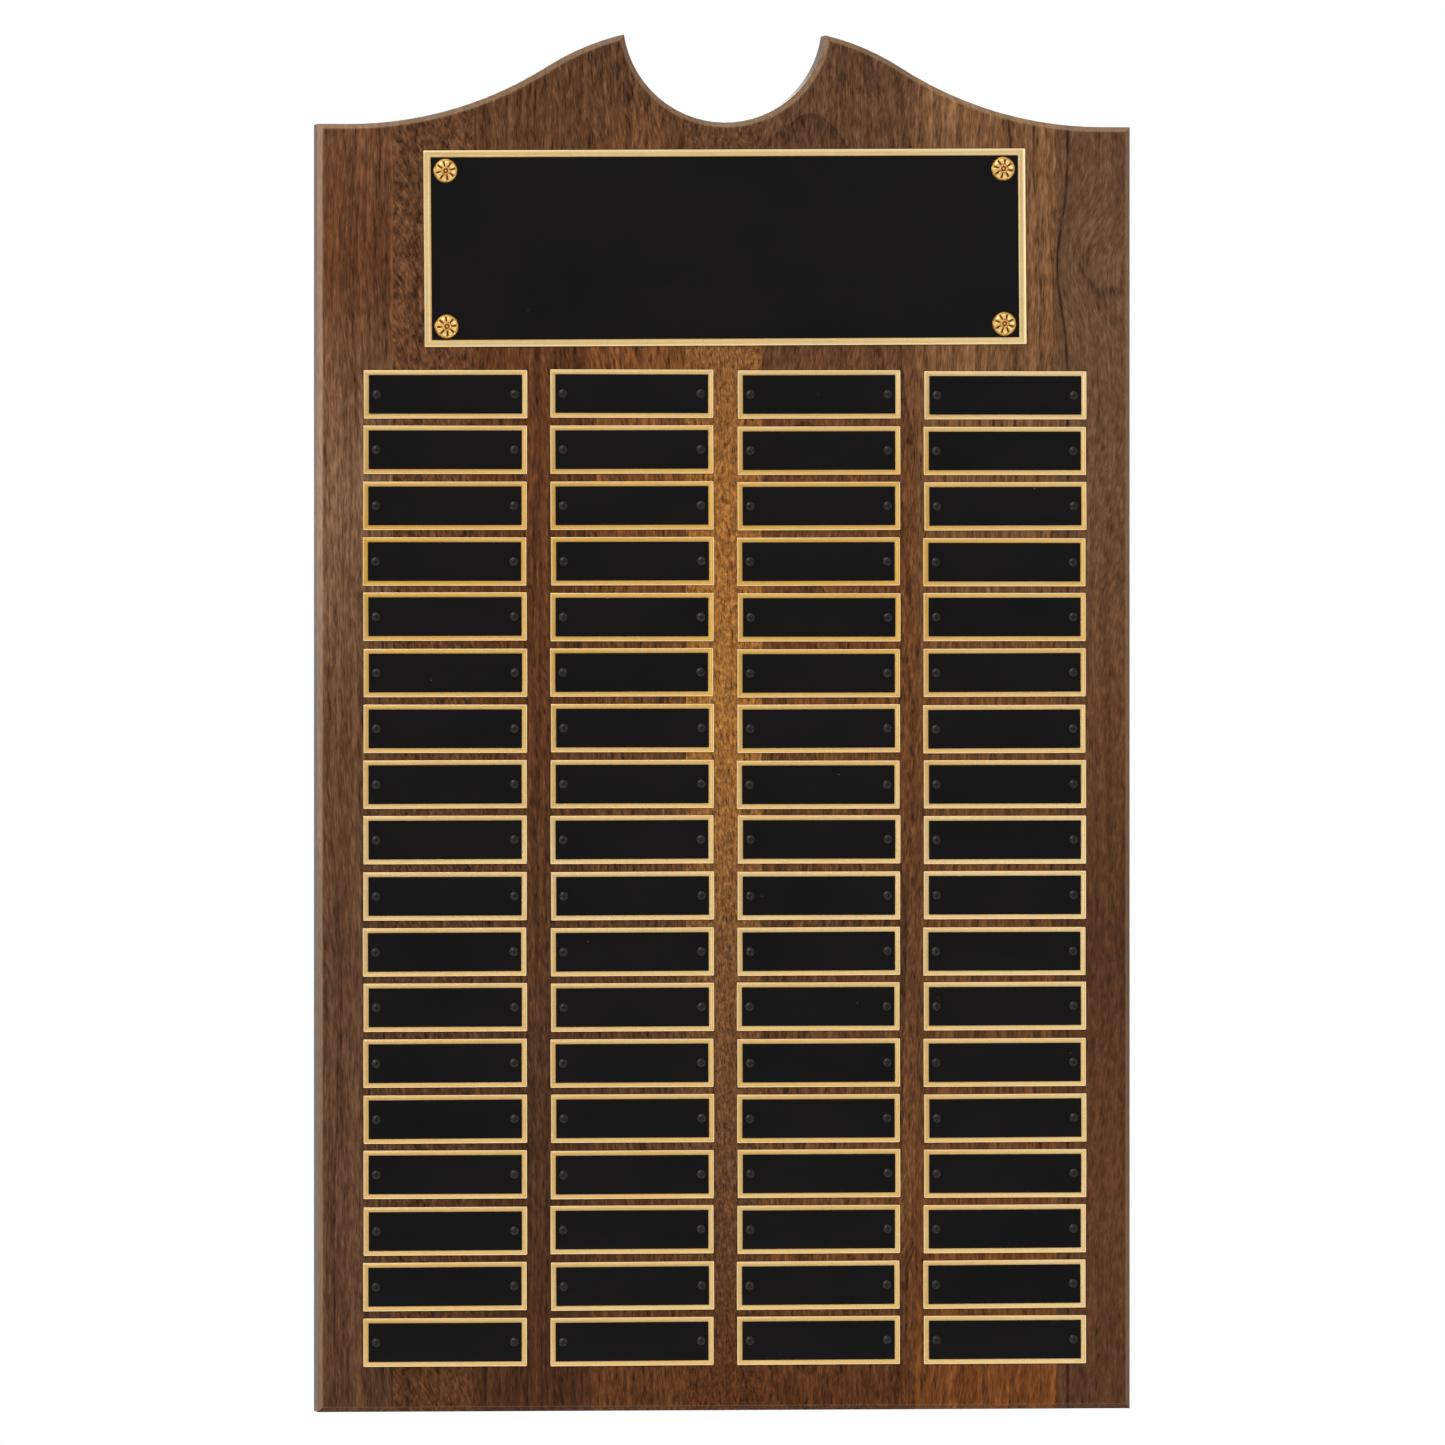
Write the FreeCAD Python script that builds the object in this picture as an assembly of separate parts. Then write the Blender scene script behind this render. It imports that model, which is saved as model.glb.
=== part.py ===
import FreeCAD, Part

import math
import os
import random

# A wall-hung perpetual award plaque, in millimetres.
# The origin is on the back face, at the middle of the plaque's width and height.
# +X is to the right as the plaque is looked at, +Z is up, and the front faces -Y.

# Board: walnut staves glued edge to edge, then cut to one outline
BOARD_WIDTH = 377.8
BOARD_THICKNESS = 19.0
SHOULDER_HEIGHT = 593.1
SHOULDER_FLAT = 13.9
CONCAVE_RADIUS = 173.3
CONVEX_RADIUS = 114.1
STEEPEST_SLOPE = math.radians(32.45)
TIP_SLOPE = math.radians(13.2)
NOTCH_DEPTH = 40.5
EDGE_CHAMFER = 2.4
ARRIS_CHAMFER = 0.45
STAVE_WIDTHS = [34.6, 37.7, 54.1, 44.2, 35.2, 71.5, 65.9, 34.6]

# Header plate: black-lacquered brass with a bare border
HEADER_WIDTH = 279.9
HEADER_HEIGHT = 90.5
HEADER_THICKNESS = 0.8
HEADER_BORDER_SIDE = 3.4
HEADER_BORDER_TOP = 3.15
HEADER_CENTRE_HEIGHT = 536.7
HEADER_TILT = 0.43
TACK_INSET_SIDE = 10.3
TACK_INSET_TOP = 9.4

# Name plates: the same brass, in rows of four
PLATE_WIDTH = 75.8
PLATE_HEIGHT = 22.3
PLATE_THICKNESS = 0.6
PLATE_BORDER_SIDE = 2.4
PLATE_BORDER_TOP = 2.2
PLATE_CORNER_RADIUS = 0.5
PLATE_EDGE_CHAMFER = 0.25
COLUMNS = 4
ROWS = 18
COLUMN_PITCH = 86.76
ROW_PITCH = 25.7
TOP_ROW_HEIGHT = 468.9
FIELD_THICKNESS = 0.05

# Plates are set by hand, so each sits a little off its line and off square
FITTING_SHIFT = 0.25
FITTING_TILT = 0.12
MEAN_TILT = 0.15
FITTING_SEED = 15

# Fasteners
SCREW_SPACING = 64.0
SCREW_HEAD_RADIUS = 2.0
SCREW_HEAD_HEIGHT = 1.1
SCREW_HEAD_RIM = 0.4
SCREW_SHANK_RADIUS = 1.0
SCREW_LENGTH = 9.5
RECESS_WIDTH = 0.55
RECESS_SPAN = 2.0
RECESS_DEPTH = 0.8
TACK_HEAD_RADIUS = 5.55
TACK_HEAD_HEIGHT = 2.2
TACK_PETALS = 8
TACK_FLUTE_RADIUS = 0.95
TACK_FLUTE_START = 1.95
TACK_FLUTE_HEIGHT = 2.2
TACK_FLUTE_SLOPE = 0.15
# The rosette's section from its middle to its rim, as shares of the head's radius and height
TACK_SECTION = [
    (0, 0.75),
    (0.14, 0.75),
    (0.18, 1),
    (0.25, 1),
    (0.34, 0.7),
    (0.75, 0.62),
    (0.95, 0.35),
    (1, 0),
]
NAIL_RADIUS = 0.7
NAIL_LENGTH = 12.5
HOLE_CLEARANCE = 0.2

# Keyhole hangers, let into the back
HANGER_SPACING = 254.0
HANGER_HEIGHT = 548.0
HANGER_WIDTH = 17.0
HANGER_LENGTH = 46.0
HANGER_THICKNESS = 1.5
ENTRY_RADIUS = 4.75
ENTRY_DROP = 5.0
SLOT_WIDTH = 4.8
SLOT_RISE = 7.0
HANGER_SCREW_OFFSET = 18.0
HANGER_SCREW_RADIUS = 1.45
HANGER_SCREW_HEAD_RADIUS = 2.9
HANGER_SCREW_LENGTH = 13.0
HANGER_RECESS_WIDTH = 0.7
HANGER_RECESS_SPAN = 3.0
HANGER_RECESS_DEPTH = 1.3
POCKET_WIDTH = 13.0
POCKET_DEPTH = 8.5

# A cutter stands this far clear of what it cuts, and one for a thin plate is this long
CUTTER_CLEARANCE = 1.0
PLATE_CUTTER_LENGTH = 4.0
SAME_PLACE = 1e-4

FRONT_Y = -BOARD_THICKNESS
ORIGIN = FreeCAD.Vector(0, 0, 0)
FORWARD = FreeCAD.Vector(0, -1, 0)
BACKWARD = FreeCAD.Vector(0, 1, 0)


def outline_points():
    """The right half's turning points, from the shoulder to the notch's tip, as (x, height) pairs."""
    start_x = BOARD_WIDTH / 2 - SHOULDER_FLAT
    bend_x = start_x - CONCAVE_RADIUS * math.sin(STEEPEST_SLOPE)
    bend_h = SHOULDER_HEIGHT + CONCAVE_RADIUS * (1 - math.cos(STEEPEST_SLOPE))
    tip_x = bend_x - CONVEX_RADIUS * (math.sin(STEEPEST_SLOPE) - math.sin(TIP_SLOPE))
    tip_h = bend_h + CONVEX_RADIUS * (math.cos(TIP_SLOPE) - math.cos(STEEPEST_SLOPE))
    return (start_x, SHOULDER_HEIGHT), (bend_x, bend_h), (tip_x, tip_h)


BOARD_HEIGHT = outline_points()[2][1]


def at(x, height, y=0.0):
    """A point given by its height above the plaque's bottom edge."""
    return FreeCAD.Vector(x, y, height - BOARD_HEIGHT / 2)


def mirrored(point):
    return FreeCAD.Vector(-point.x, point.y, point.z)


def line(start, end):
    return Part.LineSegment(start, end).toShape()


def arc(start, middle, end):
    return Part.Arc(start, middle, end).toShape()


def cylinder(radius, length, centre, direction):
    return Part.makeCylinder(radius, length, centre, direction)


def edges_at(shape, y):
    """The edges that lie wholly in the plane at that y."""
    found = []
    for edge in shape.Edges:
        box = edge.BoundBox
        if abs(box.YMin - y) < SAME_PLACE and abs(box.YMax - y) < SAME_PLACE:
            found.append(edge)
    return found


def outline():
    """The board's outline on the back face: a flat foot, two S-curved shoulders and a round notch."""
    (start_x, start_h), (bend_x, bend_h), (tip_x, tip_h) = outline_points()
    corner = at(BOARD_WIDTH / 2, 0)
    shoulder = at(BOARD_WIDTH / 2, SHOULDER_HEIGHT)
    start = at(start_x, start_h)
    bend = at(bend_x, bend_h)
    tip = at(tip_x, tip_h)
    low_slope = STEEPEST_SLOPE / 2
    concave_middle = at(
        start_x - CONCAVE_RADIUS * math.sin(low_slope),
        start_h + CONCAVE_RADIUS * (1 - math.cos(low_slope)),
    )
    high_slope = (STEEPEST_SLOPE + TIP_SLOPE) / 2
    convex_middle = at(
        bend_x - CONVEX_RADIUS * (math.sin(STEEPEST_SLOPE) - math.sin(high_slope)),
        bend_h + CONVEX_RADIUS * (math.cos(high_slope) - math.cos(STEEPEST_SLOPE)),
    )
    notch_bottom = at(0, tip_h - NOTCH_DEPTH)
    edges = [
        line(mirrored(corner), corner),
        line(corner, shoulder),
        line(shoulder, start),
        arc(start, concave_middle, bend),
        arc(bend, convex_middle, tip),
        arc(tip, notch_bottom, mirrored(tip)),
        arc(mirrored(tip), mirrored(convex_middle), mirrored(bend)),
        arc(mirrored(bend), mirrored(concave_middle), mirrored(start)),
        line(mirrored(start), mirrored(shoulder)),
        line(mirrored(shoulder), mirrored(corner)),
    ]
    return Part.Wire(edges)


def board_blank():
    """The glued-up board as one solid: a chamfered front edge, its inner arris eased by a smaller chamfer."""
    blank = Part.Face(outline()).extrude(FORWARD * BOARD_THICKNESS)
    blank = blank.makeChamfer(EDGE_CHAMFER, edges_at(blank, FRONT_Y))
    return blank.makeChamfer(ARRIS_CHAMFER, edges_at(blank, FRONT_Y))


def stave_sides():
    """Each stave's left and right X."""
    sides = []
    left = -BOARD_WIDTH / 2
    for width in STAVE_WIDTHS:
        sides.append((left, left + width))
        left += width
    return sides


def walnut_stave(blank, left, right, holes):
    """One stave of the board: what lies between its two glue faces, less the holes that fall in it."""
    corner = FreeCAD.Vector(left, -2 * BOARD_THICKNESS, -BOARD_HEIGHT)
    slab = Part.makeBox(right - left, 3 * BOARD_THICKNESS, 2 * BOARD_HEIGHT, corner)
    stave = blank.common(slab)
    own_holes = [hole for hole in holes if left < hole.BoundBox.Center.x < right]
    return stave.cut(own_holes) if own_holes else stave


def hand_fitted(centre, tilt):
    """Where a plate modelled at the origin goes: its back on the board's front face, turned a little."""
    return FreeCAD.Placement(centre + FORWARD * BOARD_THICKNESS, FreeCAD.Rotation(FORWARD, tilt))


def placed(shape, placement):
    copy = shape.copy()
    copy.Placement = placement.multiply(copy.Placement)
    return copy


def header_placement():
    return hand_fitted(at(0, HEADER_CENTRE_HEIGHT), HEADER_TILT)


def plate_placements():
    """The name plates' placements: one list for each row from the top, each from left to right."""
    draw = random.Random(FITTING_SEED)
    rows = []
    for row in range(ROWS):
        places = []
        for column in range(COLUMNS):
            x = (column - (COLUMNS - 1) / 2) * COLUMN_PITCH + draw.uniform(-1, 1) * FITTING_SHIFT
            height = TOP_ROW_HEIGHT - row * ROW_PITCH + draw.uniform(-1, 1) * FITTING_SHIFT
            tilt = MEAN_TILT + draw.uniform(-1, 1) * FITTING_TILT
            places.append(hand_fitted(at(x, height), tilt))
        rows.append(places)
    return rows


def tack_points():
    """The four tacks' places on the header plate's front."""
    x = HEADER_WIDTH / 2 - TACK_INSET_SIDE
    y = -HEADER_THICKNESS - FIELD_THICKNESS
    z = HEADER_HEIGHT / 2 - TACK_INSET_TOP
    return {
        "top_left": FreeCAD.Vector(-x, y, z),
        "top_right": FreeCAD.Vector(x, y, z),
        "bottom_left": FreeCAD.Vector(-x, y, -z),
        "bottom_right": FreeCAD.Vector(x, y, -z),
    }


def screw_points():
    """The two screws' places on a name plate's front."""
    y = -PLATE_THICKNESS - FIELD_THICKNESS
    return [FreeCAD.Vector(side * SCREW_SPACING / 2, y, 0) for side in (-1, 1)]


def flat_plate(width, height, thickness):
    """A sheet-metal plate centred on the origin, with small corner radii and a broken front edge."""
    plate = Part.makeBox(width, thickness, height, FreeCAD.Vector(-width / 2, -thickness, -height / 2))
    corners = [edge for edge in plate.Edges if edge.BoundBox.YLength > SAME_PLACE]
    plate = plate.makeFillet(PLATE_CORNER_RADIUS, corners)
    return plate.makeChamfer(PLATE_EDGE_CHAMFER, edges_at(plate, -thickness))


def black_field(width, height, thickness):
    """The lacquer that covers a plate's front inside its bare border."""
    corner = FreeCAD.Vector(-width / 2, -thickness - FIELD_THICKNESS, -height / 2)
    return Part.makeBox(width, FIELD_THICKNESS, height, corner)


def drilled(shape, points, radius):
    """The shape with a round hole right through it at each point."""
    for point in points:
        start = point + FORWARD * CUTTER_CLEARANCE
        shape = shape.cut(cylinder(radius, PLATE_CUTTER_LENGTH, start, BACKWARD))
    return shape


def header_plate():
    plate = flat_plate(HEADER_WIDTH, HEADER_HEIGHT, HEADER_THICKNESS)
    return drilled(plate, tack_points().values(), NAIL_RADIUS + HOLE_CLEARANCE)


def header_black_field():
    width = HEADER_WIDTH - 2 * HEADER_BORDER_SIDE
    height = HEADER_HEIGHT - 2 * HEADER_BORDER_TOP
    field = black_field(width, height, HEADER_THICKNESS)
    return drilled(field, tack_points().values(), NAIL_RADIUS + HOLE_CLEARANCE)


def name_plate():
    plate = flat_plate(PLATE_WIDTH, PLATE_HEIGHT, PLATE_THICKNESS)
    return drilled(plate, screw_points(), SCREW_SHANK_RADIUS + HOLE_CLEARANCE)


def name_plate_black_field():
    width = PLATE_WIDTH - 2 * PLATE_BORDER_SIDE
    height = PLATE_HEIGHT - 2 * PLATE_BORDER_TOP
    field = black_field(width, height, PLATE_THICKNESS)
    return drilled(field, screw_points(), SCREW_SHANK_RADIUS + HOLE_CLEARANCE)


def meridian(points):
    """Straight edges through (radius, y) points."""
    corners = [FreeCAD.Vector(radius, y, 0) for radius, y in points]
    return [line(start, end) for start, end in zip(corners, corners[1:])]


def turned(edges):
    """The solid that a closed chain of edges makes when it is turned about the Y axis."""
    solid = Part.Face(Part.Wire(edges)).revolve(ORIGIN, BACKWARD, 360)
    if solid.Volume < 0:
        solid.reverse()
    return solid


def shank(radius, length):
    """A plain pointed shank that runs back from y = 0."""
    return turned(meridian([(0, 0), (radius, 0), (radius, length - 2 * radius), (0, length), (0, 0)]))


def cross_recess(depth, span, width, top):
    """The two crossed slots that are sunk back into a screw head whose crown is at y = top."""
    start = top - CUTTER_CLEARANCE
    length = depth + CUTTER_CLEARANCE
    across = Part.makeBox(span, length, width, FreeCAD.Vector(-span / 2, start, -width / 2))
    upright = Part.makeBox(width, length, span, FreeCAD.Vector(-width / 2, start, -span / 2))
    return [across, upright]


def plate_screw():
    """A black cross-recess screw: its domed head sits on y = 0 and its shank runs back."""
    rise = SCREW_HEAD_HEIGHT - SCREW_HEAD_RIM
    ball = (SCREW_HEAD_RADIUS**2 + rise**2) / (2 * rise)
    half = SCREW_HEAD_RADIUS / 2
    edge = FreeCAD.Vector(SCREW_HEAD_RADIUS, -SCREW_HEAD_RIM, 0)
    middle = FreeCAD.Vector(half, ball - SCREW_HEAD_HEIGHT - math.sqrt(ball**2 - half**2), 0)
    crown = FreeCAD.Vector(0, -SCREW_HEAD_HEIGHT, 0)
    foot = [
        (0, -SCREW_HEAD_HEIGHT),
        (0, 0),
        (SCREW_HEAD_RADIUS, 0),
        (SCREW_HEAD_RADIUS, -SCREW_HEAD_RIM),
    ]
    head = turned([arc(edge, middle, crown)] + meridian(foot))
    head = head.cut(cross_recess(RECESS_DEPTH, RECESS_SPAN, RECESS_WIDTH, -SCREW_HEAD_HEIGHT))
    return head.fuse(shank(SCREW_SHANK_RADIUS, SCREW_LENGTH))


def rosette_tack():
    """A brass rosette on a nail: fluted petals round a raised boss with a dimple in it."""
    profile = [(share * TACK_HEAD_RADIUS, -rise * TACK_HEAD_HEIGHT) for share, rise in TACK_SECTION]
    head = turned(meridian(profile + [(0, 0), profile[0]]))
    for petal in range(TACK_PETALS):
        angle = 2 * math.pi * petal / TACK_PETALS
        outward = FreeCAD.Vector(math.cos(angle), 0, math.sin(angle))
        start = outward * TACK_FLUTE_START + FORWARD * TACK_FLUTE_HEIGHT
        direction = outward + BACKWARD * TACK_FLUTE_SLOPE
        head = head.cut(cylinder(TACK_FLUTE_RADIUS, TACK_HEAD_RADIUS, start, direction))
    return head.fuse(shank(NAIL_RADIUS, NAIL_LENGTH))


def obround(width, low, high, depth):
    """An upright slot shape with round ends centred on two points, running forward."""
    radius = width / 2
    corner = low + FreeCAD.Vector(-radius, -depth, 0)
    bar = Part.makeBox(width, depth, high.z - low.z, corner)
    ends = [cylinder(radius, depth, low, FORWARD), cylinder(radius, depth, high, FORWARD)]
    return bar.fuse(ends).removeSplitter()


def hanger_centres():
    return {
        "left": at(-HANGER_SPACING / 2, HANGER_HEIGHT),
        "right": at(HANGER_SPACING / 2, HANGER_HEIGHT),
    }


def hanger_outline(centre, depth):
    """The hanger plate's own round-ended shape, sunk forward from the back face."""
    reach = FreeCAD.Vector(0, 0, (HANGER_LENGTH - HANGER_WIDTH) / 2)
    return obround(HANGER_WIDTH, centre - reach, centre + reach, depth)


def hanger_screw_points(centre):
    reach = FreeCAD.Vector(0, 0, HANGER_SCREW_OFFSET)
    return [centre - reach, centre + reach]


def countersunk_body(point):
    """A countersunk screw's outer shape, its head flush with the back face and its shank running forward."""
    neck = HANGER_SCREW_RADIUS - HANGER_SCREW_HEAD_RADIUS
    tip = 2 * HANGER_SCREW_RADIUS - HANGER_SCREW_LENGTH
    profile = [
        (0, 0),
        (HANGER_SCREW_HEAD_RADIUS, 0),
        (HANGER_SCREW_RADIUS, neck),
        (HANGER_SCREW_RADIUS, tip),
        (0, -HANGER_SCREW_LENGTH),
        (0, 0),
    ]
    body = turned(meridian(profile))
    body.translate(point)
    return body


def hanger_screw(point):
    """One hanger screw: the countersunk body with a cross recess in its head."""
    screw = countersunk_body(point)
    for slot in cross_recess(HANGER_RECESS_DEPTH, HANGER_RECESS_SPAN, HANGER_RECESS_WIDTH, 0):
        slot.rotate(ORIGIN, FreeCAD.Vector(0, 0, 1), 180)
        slot.translate(point)
        screw = screw.cut(slot)
    return screw


def keyhole_ends(centre):
    """The round entry's centre, and the slot's upper end above it, on the back face."""
    return centre - FreeCAD.Vector(0, 0, ENTRY_DROP), centre + FreeCAD.Vector(0, 0, SLOT_RISE)


def keyhole_hanger(centre):
    """A steel hanger plate, flush with the back: a round entry below a slot, and two countersunk holes."""
    plate = hanger_outline(centre, HANGER_THICKNESS)
    entry, slot_top = [end + BACKWARD * CUTTER_CLEARANCE for end in keyhole_ends(centre)]
    keyhole = [
        cylinder(ENTRY_RADIUS, PLATE_CUTTER_LENGTH, entry, FORWARD),
        obround(SLOT_WIDTH, entry, slot_top, PLATE_CUTTER_LENGTH),
    ]
    return plate.cut(keyhole + [countersunk_body(point) for point in hanger_screw_points(centre)])


def hanger_recess(centre):
    """What is routed out of the back for one hanger: the plate's seat, and a pocket for a wall screw's head."""
    entry, slot_top = keyhole_ends(centre)
    pocket = obround(POCKET_WIDTH, entry, slot_top, POCKET_DEPTH)
    screws = [countersunk_body(point) for point in hanger_screw_points(centre)]
    return [hanger_outline(centre, HANGER_THICKNESS), pocket] + screws


def save(shape, node):
    shape.exportStep("parts/" + node + ".step")


def main():
    os.makedirs("parts", exist_ok=True)
    header = header_placement()
    rows = plate_placements()

    tack = rosette_tack()
    nail = shank(NAIL_RADIUS, NAIL_LENGTH)
    holes = []
    for corner, point in tack_points().items():
        place = header.multiply(FreeCAD.Placement(point, FreeCAD.Rotation()))
        save(placed(tack, place), "rosette_tack_" + corner)
        holes.append(placed(nail, place))

    save(placed(header_plate(), header), "header_plate")
    save(placed(header_black_field(), header), "header_black_field")

    plate = name_plate()
    field = name_plate_black_field()
    for number, places in enumerate(rows, start=1):
        save(Part.makeCompound([placed(plate, place) for place in places]), f"name_plates_row_{number:02d}")
        save(Part.makeCompound([placed(field, place) for place in places]), f"black_fields_row_{number:02d}")

    screw = plate_screw()
    screw_shank = shank(SCREW_SHANK_RADIUS, SCREW_LENGTH)
    for column in range(COLUMNS):
        screws = []
        for places in rows:
            for point in screw_points():
                place = places[column].multiply(FreeCAD.Placement(point, FreeCAD.Rotation()))
                screws.append(placed(screw, place))
                holes.append(placed(screw_shank, place))
        save(Part.makeCompound(screws), f"plate_screws_column_{column + 1}")

    for side, centre in hanger_centres().items():
        save(keyhole_hanger(centre), "keyhole_hanger_" + side)
        screws = [hanger_screw(point) for point in hanger_screw_points(centre)]
        save(Part.makeCompound(screws), "hanger_screws_" + side)
        holes.extend(hanger_recess(centre))

    blank = board_blank()
    for number, (left, right) in enumerate(stave_sides(), start=1):
        save(walnut_stave(blank, left, right, holes), f"walnut_stave_{number}")


main()
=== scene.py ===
import math

import bmesh
import bpy
from mathutils import Matrix, Vector


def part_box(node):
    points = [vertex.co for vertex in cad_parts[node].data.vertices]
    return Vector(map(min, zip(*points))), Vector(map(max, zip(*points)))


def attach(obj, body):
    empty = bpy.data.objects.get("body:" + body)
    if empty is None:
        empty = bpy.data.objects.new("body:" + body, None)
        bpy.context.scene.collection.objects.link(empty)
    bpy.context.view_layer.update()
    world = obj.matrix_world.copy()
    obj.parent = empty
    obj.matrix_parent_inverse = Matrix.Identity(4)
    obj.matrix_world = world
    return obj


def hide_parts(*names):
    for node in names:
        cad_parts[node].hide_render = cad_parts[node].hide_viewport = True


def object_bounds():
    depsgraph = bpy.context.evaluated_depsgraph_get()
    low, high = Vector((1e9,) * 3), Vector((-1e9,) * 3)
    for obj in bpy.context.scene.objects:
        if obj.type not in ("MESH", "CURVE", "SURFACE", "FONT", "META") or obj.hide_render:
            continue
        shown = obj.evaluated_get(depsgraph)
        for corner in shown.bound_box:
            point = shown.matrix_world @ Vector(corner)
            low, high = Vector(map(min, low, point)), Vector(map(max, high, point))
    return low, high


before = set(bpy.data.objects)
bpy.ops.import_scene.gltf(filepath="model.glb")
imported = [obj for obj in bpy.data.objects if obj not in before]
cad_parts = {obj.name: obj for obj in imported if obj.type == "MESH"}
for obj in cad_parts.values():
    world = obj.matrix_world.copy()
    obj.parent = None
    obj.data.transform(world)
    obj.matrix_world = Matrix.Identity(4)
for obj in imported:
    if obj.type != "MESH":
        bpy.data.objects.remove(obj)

# A wall-hung walnut award plaque with a black and brass header plate and seventy-two name plates.
# Lengths in this script are millimetres unless a name ends in _M; the scene itself is in metres.
MM = 0.001
CAD_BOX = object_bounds()
FOOT_Z, CREST_Z = CAD_BOX[0][2] / MM, CAD_BOX[1][2] / MM

ROWS = 18
COLUMNS = 4


# ---------------------------------------------------------------- building a material


def linear(red, green, blue):
    """A linear colour from one written in the usual 0 to 255 way."""
    shades = []
    for level in (red, green, blue):
        share = level / 255
        shades.append(share / 12.92 if share <= 0.04045 else ((share + 0.055) / 1.055) ** 2.4)
    return (*shades, 1.0)


class Graph:
    """One procedural material. Its methods add a node and return the node's output."""

    def __init__(self, name):
        self.material = bpy.data.materials.new(name)
        self.material.use_nodes = True
        self.tree = self.material.node_tree
        self.shader = self.tree.nodes["Principled BSDF"]

    def feed(self, socket, value):
        if isinstance(value, bpy.types.NodeSocket):
            self.tree.links.new(value, socket)
        elif value is not None:
            socket.default_value = value

    def add(self, kind, inputs=(), output=0, **settings):
        node = self.tree.nodes.new(kind)
        for key, value in settings.items():
            setattr(node, key, value)
        for place, value in dict(inputs).items():
            self.feed(node.inputs[place], value)
        return node.outputs[output]

    def math(self, operation, first, second=None, third=None):
        inputs = {0: first, 1: second, 2: third}
        return self.add("ShaderNodeMath", inputs, operation=operation)

    def plus(self, first, *others):
        total = first
        for other in others:
            total = self.math("ADD", total, other)
        return total

    def minus(self, first, second):
        return self.math("SUBTRACT", first, second)

    def times(self, first, second):
        return self.math("MULTIPLY", first, second)

    def times_plus(self, first, second, third):
        return self.math("MULTIPLY_ADD", first, second, third)

    def distance(self, across, up):
        return self.math("SQRT", self.plus(self.times(across, across), self.times(up, up)))

    def place(self):
        """Where the point is on the object, in millimetres."""
        point = self.add("ShaderNodeTexCoord", output="Object")
        inputs = {0: point, "Scale": 1 / MM}
        return self.add("ShaderNodeVectorMath", inputs, operation="SCALE")

    def split(self, vector):
        node = self.tree.nodes.new("ShaderNodeSeparateXYZ")
        self.feed(node.inputs[0], vector)
        return node.outputs

    def joined(self, x, y, z):
        return self.add("ShaderNodeCombineXYZ", {0: x, 1: y, 2: z})

    def in_cells(self, vector, cell, shift=0.0):
        """The vector in units of a cell's width, depth and height, for textures with cells of 1."""
        across, depth, along = cell
        inputs = {0: vector, 1: (1 / across, 1 / depth, 1 / along), 2: (shift, shift, shift)}
        return self.add("ShaderNodeVectorMath", inputs, operation="MULTIPLY_ADD")

    def noise(self, vector, detail=2.0, roughness=0.5):
        """Soft noise from 0 to 1, with its middle at 0.5."""
        inputs = {"Vector": vector, "Scale": 1.0, "Detail": detail, "Roughness": roughness}
        return self.add("ShaderNodeTexNoise", inputs)

    def noise_along(self, value):
        """Soft noise from 0 to 1 that changes with one value."""
        inputs = {"W": value, "Scale": 1.0, "Detail": 1.0}
        return self.add("ShaderNodeTexNoise", inputs, noise_dimensions="1D")

    def centred(self, noise):
        return self.minus(noise, 0.5)

    def ramp(self, value, low, high, start=0.0, end=1.0):
        """A smooth step from start to end, as value goes from low to high."""
        inputs = {"Value": value, "From Min": low, "From Max": high, "To Min": start, "To Max": end}
        return self.add("ShaderNodeMapRange", inputs, interpolation_type="SMOOTHSTEP")

    def share_between(self, value, low, high):
        return self.add("ShaderNodeMapRange", {"Value": value, "From Min": low, "From Max": high})

    def bell(self, value, centre, width):
        """1 where value is centre, falling to 0 a few widths away."""
        off = self.math("DIVIDE", self.minus(value, centre), width)
        return self.math("EXPONENT", self.times(self.times(off, off), -1.0))

    def mix(self, share, first, second, blend="MIX"):
        node = self.tree.nodes.new("ShaderNodeMix")
        node.data_type = "RGBA"
        node.blend_type = blend
        for place, value in ((0, share), (6, first), (7, second)):
            self.feed(node.inputs[place], value)
        return node.outputs[2]

    def stops(self, value, colours):
        """A colour that runs through evenly spaced colours as value goes from 0 to 1."""
        node = self.tree.nodes.new("ShaderNodeValToRGB")
        elements = node.color_ramp.elements
        while len(elements) < len(colours):
            elements.new(1.0)
        for number, colour in enumerate(colours):
            elements[number].position = number / (len(colours) - 1)
            elements[number].color = colour
        self.feed(node.inputs[0], value)
        return node.outputs[0]

    def mark(self, name):
        """A value that is stored on each vertex of a piece."""
        return self.add("ShaderNodeAttribute", attribute_name=name, output="Fac")

    def bump(self, height, depth, strength=1.0):
        """A normal from a height that runs from 0 to 1 over depth millimetres."""
        inputs = {"Height": height, "Distance": depth * MM, "Strength": strength}
        return self.add("ShaderNodeBump", inputs)

    def finish(self, **values):
        """Sets the shader's inputs, with underscores in the names for spaces."""
        for name, value in values.items():
            self.feed(self.shader.inputs[name.replace("_", " ")], value)
        return self.material


# ---------------------------------------------------------------- walnut


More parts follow.
